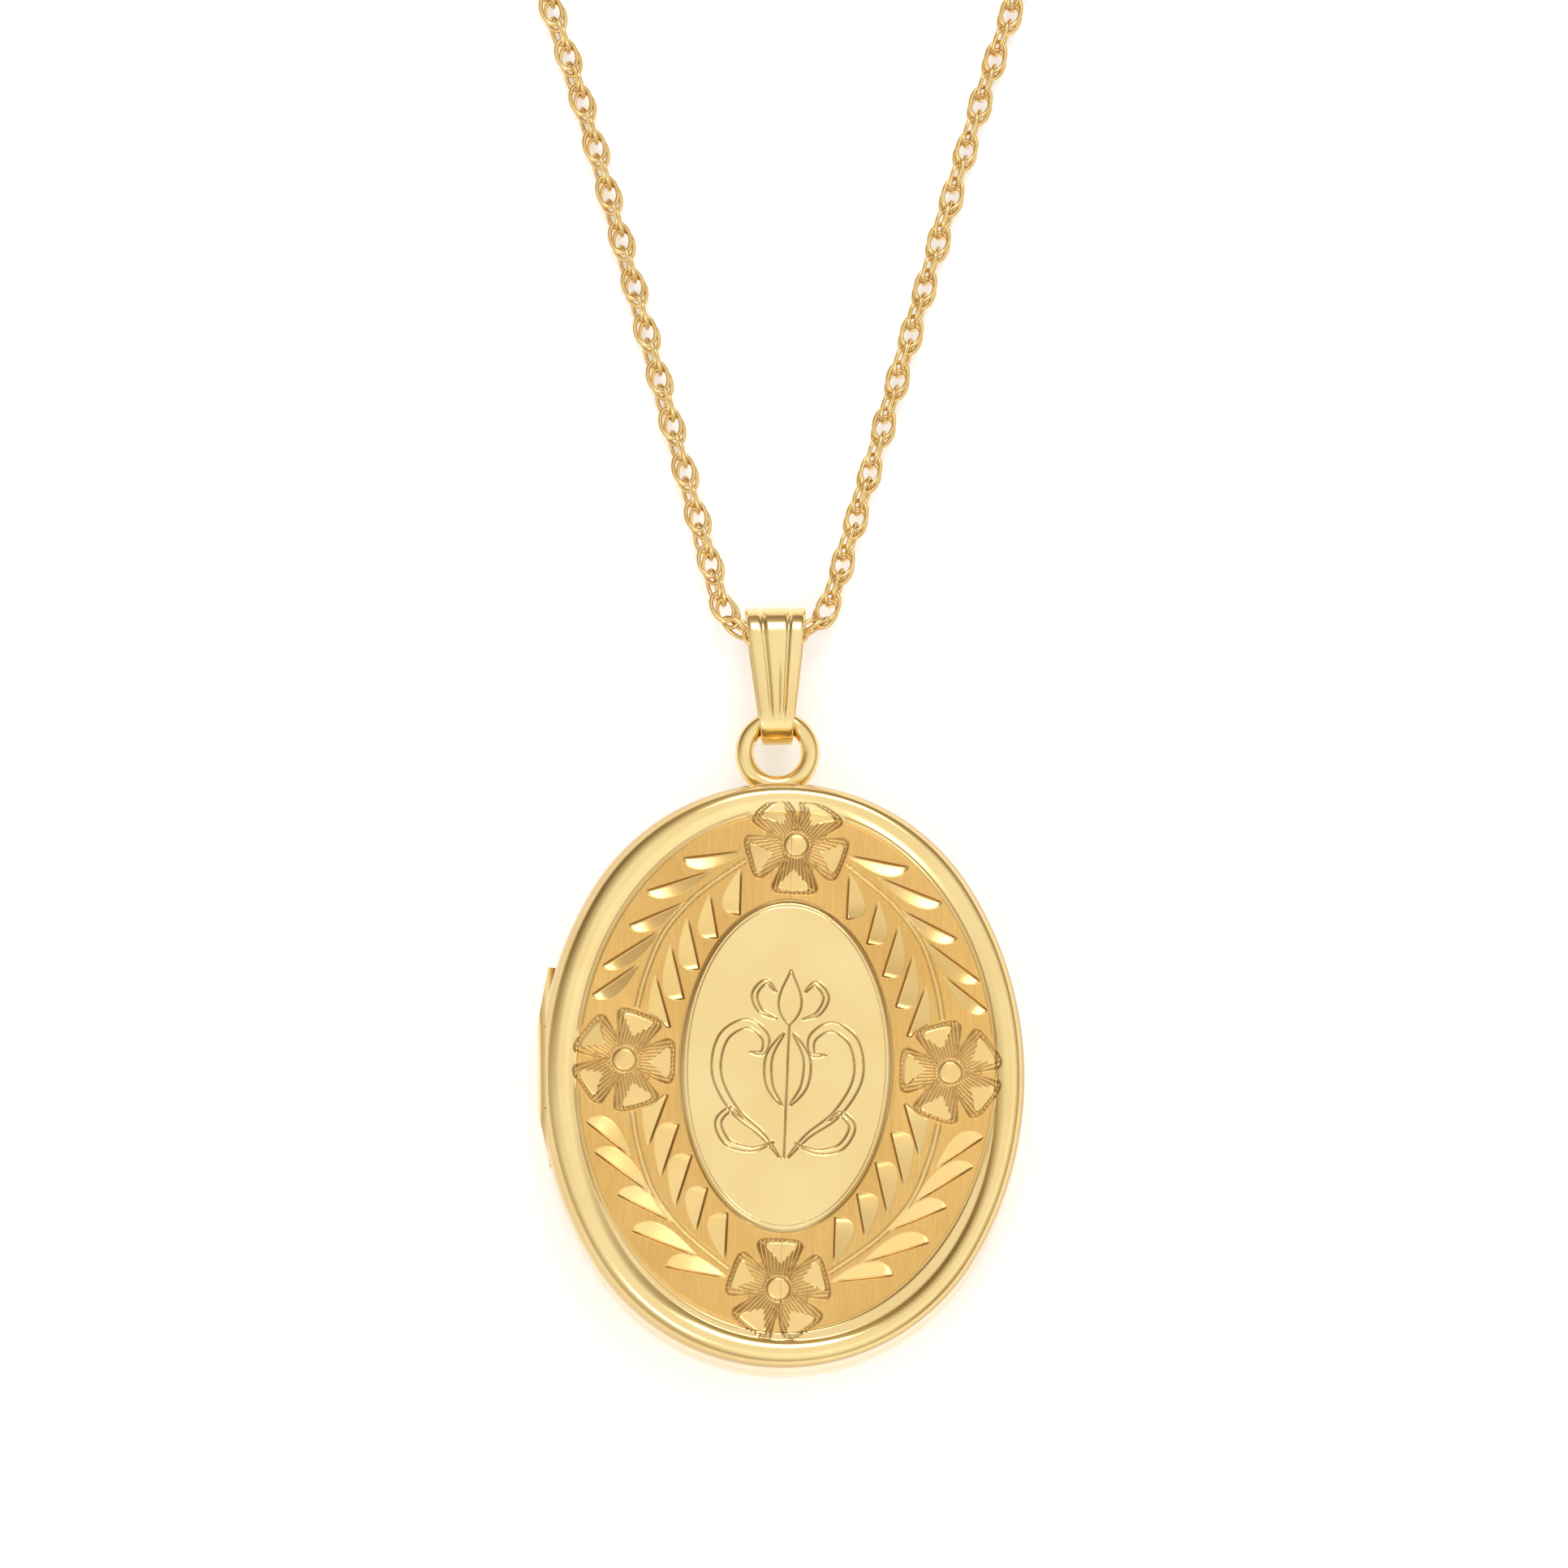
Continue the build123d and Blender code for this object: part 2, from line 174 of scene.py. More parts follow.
def engraved_gold(name):
    """Satin ground brushed along the locket, mixed with bright cuts where the mesh is marked as cut."""
    material, tree, shader = new_material(name)
    shader.inputs["Metallic"].default_value = 1.0
    marked = add_node(tree, "ShaderNodeAttribute", attribute_name="cut")
    drift = object_noise(tree, 330.0, detail=3.0)
    strokes = object_noise(tree, 16000.0, stretch=(1, 0.035, 1), detail=3.0, roughness=0.7)
    ground = ramp(tree, drift, [(0.3, SATIN_DEEP), (0.72, SATIN)])
    streak = ramp(tree, strokes, [(0.3, (0.86, 0.84, 0.80)), (0.68, (1.0, 1.0, 1.0))])
    brushed = add_node(tree, "ShaderNodeMix", data_type="RGBA", blend_type="MULTIPLY")
    brushed.inputs["Factor"].default_value = 1.0
    tree.links.new(ground, brushed.inputs["A"])
    tree.links.new(streak, brushed.inputs["B"])
    bright = ramp(tree, drift, [(0.3, FACET_DEEP), (0.7, FACET)])
    colour = add_node(tree, "ShaderNodeMix", data_type="RGBA")
    tree.links.new(marked.outputs["Fac"], colour.inputs["Factor"])
    tree.links.new(brushed.outputs["Result"], colour.inputs["A"])
    tree.links.new(bright, colour.inputs["B"])
    # Painted shade: the colour runs to brown in the grooves that the line attribute marks.
    tree.links.new(paint_line_shade(tree, colour.outputs["Result"]), shader.inputs["Base Color"])
    tree.links.new(spread(tree, marked.outputs["Fac"], 0.42, 0.2), shader.inputs["Roughness"])
    shader.inputs["Anisotropic"].default_value = 0.35
    fade = add_node(tree, "ShaderNodeMath", operation="SUBTRACT")
    fade.inputs[0].default_value = 1.0
    tree.links.new(marked.outputs["Fac"], fade.inputs[1])
    height = add_node(tree, "ShaderNodeMath", operation="MULTIPLY")
    tree.links.new(strokes, height.inputs[0])
    tree.links.new(fade.outputs[0], height.inputs[1])
    tree.links.new(bump(tree, height.outputs[0], 0.00002, 0.55), shader.inputs["Normal"])
    return material


def chain_gold(name):
    """Bright drawn wire, its tone drifting a little darker and lighter at random."""
    return polished_gold(name, (0.87, 0.65, 0.30), (0.75, 0.51, 0.20), (0.12, 0.22), 1400.0)


def inside_gold(name):
    """Fine scratch-brushed finish inside the case."""
    material, tree, shader = new_material(name)
    shader.inputs["Metallic"].default_value = 1.0
    drift = object_noise(tree, 400.0)
    scratches = object_noise(tree, 7000.0, stretch=(0.06, 1, 1), detail=4.0)
    base = ramp(tree, drift, [(0.3, SATIN_DEEP), (0.7, POLISHED_DEEP)])
    tree.links.new(base, shader.inputs["Base Color"])
    tree.links.new(spread(tree, scratches, 0.22, 0.4), shader.inputs["Roughness"])
    tree.links.new(bump(tree, scratches, 0.00001, 0.5), shader.inputs["Normal"])
    return material


def spring_steel(name):
    """Bright spring wire."""
    material, tree, shader = new_material(name)
    shader.inputs["Metallic"].default_value = 1.0
    drift = object_noise(tree, 4000.0)
    base = ramp(tree, drift, [(0.3, (0.42, 0.42, 0.41)), (0.7, (0.58, 0.58, 0.57))])
    tree.links.new(base, shader.inputs["Base Color"])
    tree.links.new(spread(tree, drift, 0.2, 0.35), shader.inputs["Roughness"])
    return material


def clear_plastic(name):
    """Thin clear acetate, shown as a nearly transparent gloss with faint wipe marks."""
    material, tree, shader = new_material(name)
    shader.inputs["IOR"].default_value = 1.46
    wipes = object_noise(tree, 500.0, stretch=(1, 0.3, 1))
    base = ramp(tree, wipes, [(0.3, (0.90, 0.91, 0.91)), (0.7, (0.96, 0.96, 0.96))])
    tree.links.new(base, shader.inputs["Base Color"])
    tree.links.new(spread(tree, wipes, 0.03, 0.1), shader.inputs["Roughness"])
    tree.links.new(spread(tree, wipes, 0.12, 0.2), shader.inputs["Alpha"])
    return material


def photo_paper(name):
    """Blank pearl card with a soft fibre grain."""
    material, tree, shader = new_material(name)
    fibres = object_noise(tree, 3000.0, detail=5.0)
    mottle = object_noise(tree, 180.0)
    base = ramp(tree, mottle, [(0.3, (0.80, 0.77, 0.70)), (0.7, (0.87, 0.85, 0.79))])
    tree.links.new(base, shader.inputs["Base Color"])
    tree.links.new(spread(tree, fibres, 0.45, 0.6), shader.inputs["Roughness"])
    tree.links.new(bump(tree, fibres, 0.00002, 0.3), shader.inputs["Normal"])
    return material


def pale_floor(name):
    """Glossy white acrylic, lit a little from below."""
    material, tree, shader = new_material(name)
    mottle = object_noise(tree, 20.0)
    base = ramp(tree, mottle, [(0.3, (0.93, 0.93, 0.93)), (0.7, (0.95, 0.95, 0.95))])
    tree.links.new(base, shader.inputs["Base Color"])
    shader.inputs["Roughness"].default_value = 0.2
    shader.inputs["Specular IOR Level"].default_value = 0.25
    shader.inputs["Emission Color"].default_value = (1.0, 1.0, 1.0, 1)
    shader.inputs["Emission Strength"].default_value = 0.28
    return material


def finish_with(piece, material):
    """Give a piece one material."""
    piece.data.materials.clear()
    piece.data.materials.append(material)


# ---------------------------------------------------------------- mesh building
def mesh_piece(name, points, faces, material, smooth=True):
    """New piece from points in millimetres."""
    mesh = bpy.data.meshes.new(name)
    mesh.from_pydata((np.asarray(points) * MM).tolist(), [], faces)
    mesh.validate()
    mesh.update()
    if smooth:
        mesh.shade_smooth()
    piece = bpy.data.objects.new(name, mesh)
    bpy.context.scene.collection.objects.link(piece)
    finish_with(piece, material)
    return piece


def grid_faces(rows, columns, close_columns=True, close_rows=False):
    """Quads between rows of points; each row is a closed ring unless told otherwise."""
    r = np.arange(rows if close_rows else rows - 1)[:, None]
    c = np.arange(columns if close_columns else columns - 1)[None, :]
    next_r = (r + 1) % rows
    next_c = (c + 1) % columns
    corners = [r * columns + c, r * columns + next_c, next_r * columns + next_c, next_r * columns + c]
    return np.stack(corners, axis=-1).reshape(-1, 4).tolist()


def mark(piece, name, values):
    """Store values at the piece's points, for its material; points past the last value get 0."""
    layer = piece.data.attributes.new(name, "FLOAT", "POINT")
    full = np.zeros(len(piece.data.vertices), dtype=np.float32)
    full[: len(values)] = values
    layer.data.foreach_set("value", full)


# ---------------------------------------------------------------- face layout
def face_oval(t, angles):
    """Family of ovals from the border (t=0) to the medallion's edge (t=1)."""
    axes = [b + (m - b) * t for b, m in zip(BORDER, MEDALLION)]
    x = MEDALLION_CENTRE[0] * t + axes[0] * np.cos(angles)
    y = MEDALLION_CENTRE[1] * t + axes[1] * np.sin(angles)
    return x, y


def face_to_case(x, y):
    """From the face's own coordinates to the case's."""
    c, s = math.cos(FACE_TURN), math.sin(FACE_TURN)
    return x * c - y * s + FACE_SHIFT[0], x * s + y * c + FACE_SHIFT[1]


def ground_height(t):
    """Satin ground: low at the border, gently domed towards the middle."""
    t = np.clip(t, 0, 1)
    return GROUND_Z + GROUND_DOME * (1 - (1 - t) ** 2)


def to_pattern(x, y):
    """From face coordinates to the engraver's own upright pattern."""
    x, y = x - PATTERN_CENTRE[0], y - PATTERN_CENTRE[1]
    c, s = math.cos(-PATTERN_TURN), math.sin(-PATTERN_TURN)
    return x * c - y * s, x * s + y * c


def smooth_step(value, low, high):
    """0 below low, 1 above high, with a smooth rise between."""
    u = np.clip((value - low) / (high - low), 0, 1)
    return u * u * (3 - 2 * u)


# ---------------------------------------------------------------- engraving
# Every cut returns (height change in millimetres, polish 0..1, painted shade of its dark lines 0..1) at the
# points it is given.
STEM = [(-2.05, 8.66), (-3.6, 7.5), (-4.5, 6.65), (-5.45, 5.35), (-6.1, 3.6), (-6.4, 2.2)]
OUTER_LEAVES = [
    ((-2.10, 9.0), (-4.75, 8.6)),
    ((-3.38, 8.15), (-6.2, 7.15)),
    ((-4.4, 6.8), (-6.88, 5.65)),
    ((-5.4, 5.6), (-7.9, 3.9)),
    ((-6.3, 4.1), (-8.28, 2.65)),
]
INNER_LEAVES = [
    ((-2.3, 8.25), (-2.28, 6.27)),
    ((-3.55, 7.1), (-3.15, 5.25)),
    ((-4.45, 6.1), (-3.86, 3.9)),
    ((-5.1, 4.9), (-4.46, 2.62)),
    ((-5.68, 3.6), (-4.98, 1.4)),
]
OUTER_LEAF_WIDTH = (0.68, 0.55)  # lower and upper half of the face
INNER_LEAF_WIDTH = (0.80, 0.74)
LEAF_DEPTH = 0.17
LEAF_FULLNESS = 2.13             # each brings its outline's widest place to a share of about 1
BLUNT_LEAF_FULLNESS = 1.52
LEAF_STEEP = 0.08                # width of a leaf's steep side
LEAF_LINE = (0.035, 0.05)        # where the painted dark line of shade lies in that side, and how far it fades out
STEM_HALF_WIDTH = 0.09
TOP_FLOWER = 9.38                # from the pattern's centre
SIDE_FLOWER = 6.82
FLOWER_RADIUS = 2.12
FLOWER_DEPTH = 0.13
PETAL_MIDDLE = 1.28              # from the flower's own centre
PETAL_HALF_LENGTH = 0.80
PETAL_WIDTH = (0.36, 0.58)       # half width at its foot, and what it gains outwards
FACET_START = 1.0
GAP_END = 1.3                    # the ground between petals is sunk as far as this
BOSS_RADIUS = 0.58
BOSS_RING = 0.5
BORDER_LINE = 0.06               # how far its double line lies either side of the border
LINE_DEPTH = 0.05


def near_line(distance, half_width):
    """1 on a line, falling evenly to 0 at half_width from it."""
    return np.clip(1 - np.abs(distance) / half_width, 0, 1)


def segment_distance(x, y, a, b):
    """Distance to the straight piece from a to b."""
    ax, ay = a
    dx, dy = b[0] - ax, b[1] - ay
    along = np.clip(((x - ax) * dx + (y - ay) * dy) / (dx * dx + dy * dy), 0, 1)
    return np.hypot(x - ax - along * dx, y - ay - along * dy)


def smooth_path(points, steps):
    """Points along a smooth curve through the given ones."""
    points = np.array([points[0], *points, points[-1]], float)
    out = []
    for k in range(1, len(points) - 2):
        p0, p1, p2, p3 = points[k - 1 : k + 3]
        for u in np.arange(steps) / steps:
            a = 2 * p1
            b = p2 - p0
            c = 2 * p0 - 5 * p1 + 4 * p2 - p3
            d = -p0 + 3 * p1 - 3 * p2 + p3
            out.append(0.5 * (a + b * u + c * u * u + d * u**3))
    out.append(points[-2])
    return np.array(out)


def path_distance(x, y, path):
    """Distance to a path, and how far along it (0..1) the nearest point is."""
    best = np.full(x.shape, 1e9)
    where = np.zeros(x.shape)
    count = len(path) - 1
    for k in range(count):
        ax, ay = path[k]
        dx, dy = path[k + 1] - path[k]
        along = np.clip(((x - ax) * dx + (y - ay) * dy) / (dx * dx + dy * dy + 1e-12), 0, 1)
        distance = np.hypot(x - ax - along * dx, y - ay - along * dy)
        nearer = distance < best
        best = np.where(nearer, distance, best)
        where = np.where(nearer, (k + along) / count, where)
    return best, where


def leaf(x, y, base, tip, width, side, blunt):
    """Bright cut: a steep straight edge on one side, a flat facet up to a curved edge on the other; the
    steep side gets a painted dark line of shade.
    """
    dx, dy = tip[0] - base[0], tip[1] - base[1]
    length = math.hypot(dx, dy)
    ux, uy = dx / length, dy / length
    s = ((x - base[0]) * ux + (y - base[1]) * uy) / length
    w = ((x - base[0]) * -uy + (y - base[1]) * ux) * side
    inside = np.clip(s, 0.0, 1.0)
    if blunt:
        share = BLUNT_LEAF_FULLNESS * inside**0.8 * (1 - inside**4) ** 0.5
    else:
        share = LEAF_FULLNESS * inside * (1 - inside**2) ** 0.6
    valid = (s > 0) & (s < 1)
    deep = LEAF_DEPTH * share
    facet = np.clip(deep - LEAF_DEPTH * w / width, 0, 1)
    steep = deep * np.clip(1 + w / LEAF_STEEP, 0, 1)
    height = -np.where(valid, np.where(w >= 0, facet, steep), 0)
    polish = np.where(valid & (w > -0.02), smooth_step(width * share - w, 0, 0.05), 0)
    # Painted shade along the leaf's steep side.
    painted_shade = np.clip(1.3 - np.abs(w + LEAF_LINE[0]) / LEAF_LINE[1], 0, 1)
    line = np.where(valid, smooth_step(share, 0.05, 0.4) * painted_shade, 0)
    return height, polish, line


def flower(x, y, centre, turn):
    """Five broad petals round a plain boss: hatched shoulders, and a bright-cut facet at each outer end."""
    px, py = x - centre[0], y - centre[1]
    radius = np.hypot(px, py)
    angle = np.arctan2(py, px) - turn
    fifth = 2 * math.pi / 5
    local = (angle + fifth / 2) % fifth - fifth / 2
    petal_number = np.round((angle - local) / fifth) % 5
    a = radius * np.cos(local)
    b = radius * np.sin(local)
    half_width = PETAL_WIDTH[0] + PETAL_WIDTH[1] * np.clip((a - 0.5) / 1.3, 0, 1) ** 0.85
    lengthwise = np.abs((a - PETAL_MIDDLE) / PETAL_HALF_LENGTH) ** 6
    shape = (lengthwise + np.abs(b / half_width) ** 4.5) ** 0.2
    edge = (shape - 1) * 0.72
    petal = edge < 0
    near = (radius < FLOWER_RADIUS + 0.25) & (radius > 0.52)
    rim = near_line(edge, 0.055) + 0.7 * near_line(edge + 0.14, 0.045)
    strokes = 0.5 + 0.5 * np.cos(2 * math.pi * b / (0.09 + 0.05 * a))
    lean = np.sin(2.4 * petal_number + 1.0)
    facet_half = 0.68 * half_width * np.clip((a - FACET_START) / 0.7, 0, 1) ** 0.8
    frayed = facet_half - np.abs(b + 0.08 * lean) - 0.06 * strokes * (a < 1.6)
    in_facet = petal & (frayed > 0) & (a > FACET_START) & (edge < -0.1)
    rise = np.clip(a - FACET_START, 0, 1)
    facet = -FLOWER_DEPTH * rise * (0.62 + 0.38 * lean * b / 0.6)
    hatched = petal & ~in_facet
    gap = ~petal & (radius < GAP_END)
    height = np.where(in_facet, facet, 0) - LINE_DEPTH * rim - np.where(hatched, 0.04 * strokes, 0)
    height -= np.where(gap, 0.03, 0)
    polish = np.where(in_facet, 1.0, np.where(petal, 0.4, 0))
    # Painted shade: the line value darkens the outline grooves, the hatch valleys and the sunk ground
    # between the petals.
    line = np.maximum(rim * 0.9, np.where(hatched, 0.15 + 0.6 * strokes, 0))
    line = np.maximum(line, np.where(gap, 0.35, 0))
    boss = radius < BOSS_RADIUS
    ring = near_line(radius - BOSS_RING, 0.07)
    crown = 0.05 * np.clip(1 - (radius / 0.46) ** 2, 0, 1)
    height = np.where(boss, crown - 0.07 * ring, height * near)
    polish = np.where(boss, 1.0 - ring, polish * near)
    # Painted shade in the groove round the boss.
    line = np.where(boss, 0.8 * ring, line * near)
    return height, polish, line


def sprays(x, y):
    """Stem and leaves of one quadrant, mirrored into all four."""
    qx, qy = -np.abs(x), np.abs(y)
    upper = y > 0
    distance, _ = path_distance(qx, qy, smooth_path(STEM, 8))
    edge = near_line(distance - STEM_HALF_WIDTH, 0.05)
    height = -LINE_DEPTH * edge
    polish = np.clip(1 - distance / 0.12, 0, 1)
    # Painted shade in the stem's edge grooves.
    line = 0.75 * edge
    outer_width = np.where(upper, *OUTER_LEAF_WIDTH[::-1])
    inner_width = np.where(upper, *INNER_LEAF_WIDTH[::-1])
    leaves = [(ends, outer_width, 1, False) for ends in OUTER_LEAVES]
    leaves += [(ends, inner_width, -1, True) for ends in INNER_LEAVES]
    for (base, tip), width, side, blunt in leaves:
        cut, shine, painted_shade = leaf(qx, qy, base, tip, width, side, blunt)
        height = np.minimum(height, cut)
        polish = np.maximum(polish, shine)
        line = np.where(shine > 0.5, painted_shade, np.maximum(line, painted_shade))
    return height, polish, line


def engraving(x, y):
    """All cuts outside the medallion, in face coordinates."""
    px, py = to_pattern(x, y)
    height, polish, line = sprays(px, py)
    near_flower = np.full(x.shape, 1e9)
    layout = [
        ((0, TOP_FLOWER), -math.pi / 2),
        ((0, -TOP_FLOWER), math.pi / 2),
        ((-SIDE_FLOWER, 0), 0.0),
        ((SIDE_FLOWER, 0), math.pi),
    ]
    for centre, turn in layout:
        distance = np.hypot(px - centre[0], py - centre[1])
        near_flower = np.minimum(near_flower, distance)
        cut, shine, painted_shade = flower(px, py, centre, turn)
        blank = distance < FLOWER_RADIUS + 0.1
        height = np.where(blank, cut, height)
        polish = np.where(blank, shine, polish)
        line = np.where(blank, painted_shade, line)
    off = np.abs(np.sqrt((x / BORDER[0]) ** 2 + (y / BORDER[1]) ** 2) - 1) * BORDER_REACH
    shown = smooth_step(near_flower, FLOWER_RADIUS + 0.1, FLOWER_RADIUS + 0.3)
    edge = near_line(off - BORDER_LINE, 0.045) * shown
    height = height - LINE_DEPTH * edge
    polish = np.maximum(polish, shown * (off < BORDER_LINE))
    # Painted shade in the border's double line.
    line = np.maximum(line, 0.55 * edge)
    return height, polish, line


# ---------------------------------------------------------------- cover
EDGE_SEGMENTS = 1150
BAND_SEGMENTS = 900              # for each of its two halves
BAND_ROWS = 101
PLATE_Z = 5.02
INSIDE_TOP_Z = PLATE_Z - 0.02
INNER_WALL_TOP_Z = 3.95
PLATE_TUCK = 0.005               # how far the ring's inner edge lies below the plate
LEDGE = 2.4                      # reach of the cover's inside, in from the outline
CREST_Z = 5.39
ANGLES = np.linspace(0, 2 * math.pi, EDGE_SEGMENTS, endpoint=False)


def engraved_band(name, first, last, material):
    """Part of the satin ground between border and medallion, with its leaves and flowers cut in."""
    angles = np.linspace(first, last, BAND_SEGMENTS + 1)
    plate = np.full_like(angles, PLATE_Z)
    plain = np.zeros_like(angles)
    rows = [np.stack([*face_to_case(*face_oval(0, angles)), plate], axis=-1)]
    marks = [(plain, plain)]
    for t in np.linspace(0, 1, BAND_ROWS):
        x, y = face_oval(t, angles)
        cut, polish, line = engraving(x, y)
        fade = smooth_step(1 - t, 0, 0.02)
        z = np.maximum(ground_height(t) + cut * fade, PLATE_Z + 0.02)
        rows.append(np.stack([*face_to_case(x, y), z], axis=-1))
        marks.append((polish * fade, line * fade))
    rows.append(np.stack([*face_to_case(*face_oval(1, angles)), plate], axis=-1))
    marks.append((plain, plain))
    columns = len(angles)
    faces = grid_faces(len(rows), columns, close_columns=False, close_rows=True)
    faces.append([r * columns for r in range(len(rows))])
    faces.append([r * columns + columns - 1 for r in range(len(rows))][::-1])
    piece = mesh_piece(name, np.concatenate(rows), faces, material)
    mark(piece, "cut", np.concatenate([m[0] for m in marks]))
    # The line values paint shade into the grooves for the material.
    mark(piece, "line", np.concatenate([m[1] for m in marks]))
    return piece


def outline_at(angles, inset):
    """Points of the case outline, drawn in by inset: four tangent arcs, by direction from the middle."""
    end_y = OUTLINE[1] - END_RADIUS
    side_radius = (end_y**2 + OUTLINE[0] ** 2 - END_RADIUS**2) / (2 * (OUTLINE[0] - END_RADIUS))
    side_x = side_radius - OUTLINE[0]
    dx, dy = np.abs(np.cos(angles)), np.abs(np.sin(angles))
    size = np.hypot(dx * OUTLINE[0], dy * OUTLINE[1])
    dx, dy = dx * OUTLINE[0] / size, dy * OUTLINE[1] / size
    small, large = END_RADIUS - inset, side_radius - inset
    to_end = dy * end_y + np.sqrt(np.maximum((dy * end_y) ** 2 - end_y**2 + small**2, 0))
    to_side = -dx * side_x + np.sqrt((dx * side_x) ** 2 - side_x**2 + large**2)
    on_end = (to_end * dy - end_y) * side_x > to_end * dx * end_y
    reach = np.where(on_end, to_end, to_side)
    return reach * dx * np.sign(np.cos(angles)), reach * dy * np.sign(np.sin(angles))


def seam_rise(x, y):
    """Height of the cover's seam face above the seam: it arches over the hinge knuckles."""
    low = HINGE_Y - HINGE_LENGTH / 2 - KNUCKLE_END_PLAY
    high = HINGE_Y + HINGE_LENGTH / 2 + KNUCKLE_END_PLAY
    in_middle = np.abs(y - HINGE_Y) < MIDDLE_KNUCKLE / 2
    in_barrel = (y > low) & (y < high) & (x < 0)
    radius = np.where(in_middle, KNUCKLE_RADIUS, KNUCKLE_RADIUS + KNUCKLE_PLAY)
    arch = np.sqrt(np.maximum(radius**2 - (x - HINGE_X) ** 2, 0))
    return np.where(in_barrel, np.maximum(arch, SEAM_HALF_GAP), SEAM_HALF_GAP)


def cut_flat(x, y):
    """The wall is cut back to a flat along the hinge, with a soft run-out at its ends."""
    beside = np.abs(y - HINGE_Y) - HINGE_LENGTH / 2
    limit = HINGE_FLAT_X - 2.0 * smooth_step(beside, 0.0, 0.12)
    return np.maximum(x, limit)


# How the rim's section changes round the case, by degrees from +X.  Foot and crest are shares of the
# way from border to outline; steep is 1 where the rim stands up sharply, 0 where it swells softly.
RIM_FOOT = [
    (0, 0.0), (60, 0.0), (150, 0.0), (200, 0.02), (235, 0.2), (265, 0.22), (300, 0.4), (330, 0.34),
]
RIM_CREST = [
    (0, 0.5), (60, 0.5), (150, 0.42), (200, 0.4), (235, 0.55), (265, 0.56), (300, 0.68), (330, 0.62),
]
RIM_STEEP = [(0, 1.0), (60, 0.5), (110, 0.0), (230, 0.0), (285, 0.8), (330, 1.0)]
RIM_FALL = 1.25                  # the shoulder's drop, against its width
SHOULDER_PAINTED_SHADE = 0.55             # painted shade: how far the turn of the rim is darkened, against its crest, standing for the dark reflections there
SHADE_COMES = (0.15, 0.5)         # drops below the crest over which that painted shade comes and goes
SHADE_GOES = (0.6, 1.4)
RIM_BLEND = 60                   # points either way over which the section changes


def around(stops):
    """Smooth value at every angle from (degrees, value) stops."""
    value = np.interp(np.degrees(ANGLES), *zip(*stops), period=360)
    padded = np.concatenate([value[-RIM_BLEND:], value, value[:RIM_BLEND]])
    window = np.hanning(2 * RIM_BLEND + 3)[1:-1]
    return np.convolve(padded, window / window.sum(), "valid")


def rim_profile(gap):
    """(share of the way from border to outline, z): strip, inner slope, crest, then round to the wall."""
    foot, crest, steep = around(RIM_FOOT), around(RIM_CREST), around(RIM_STEEP)
    profile = [(foot * u, np.full_like(foot, GROUND_Z)) for u in np.linspace(0, 1, 5)[:-1]]
    for u in np.linspace(0, 1, 20)[:-1]:
        soft = math.sin(u * math.pi / 2) ** 1.2
        sharp = math.sqrt(1 - (1 - u) ** 2)
        rise = soft + (sharp - soft) * steep
        profile.append((foot + (crest - foot) * u, GROUND_Z + (CREST_Z - GROUND_Z) * rise))
    drop = np.minimum(RIM_FALL * (1 - crest) * gap, CREST_Z - INNER_WALL_TOP_Z)
    for angle in np.linspace(0, math.pi / 2, 26):
        profile.append((crest + (1 - crest) * math.sin(angle), CREST_Z - drop * (1 - math.cos(angle))))
    return profile


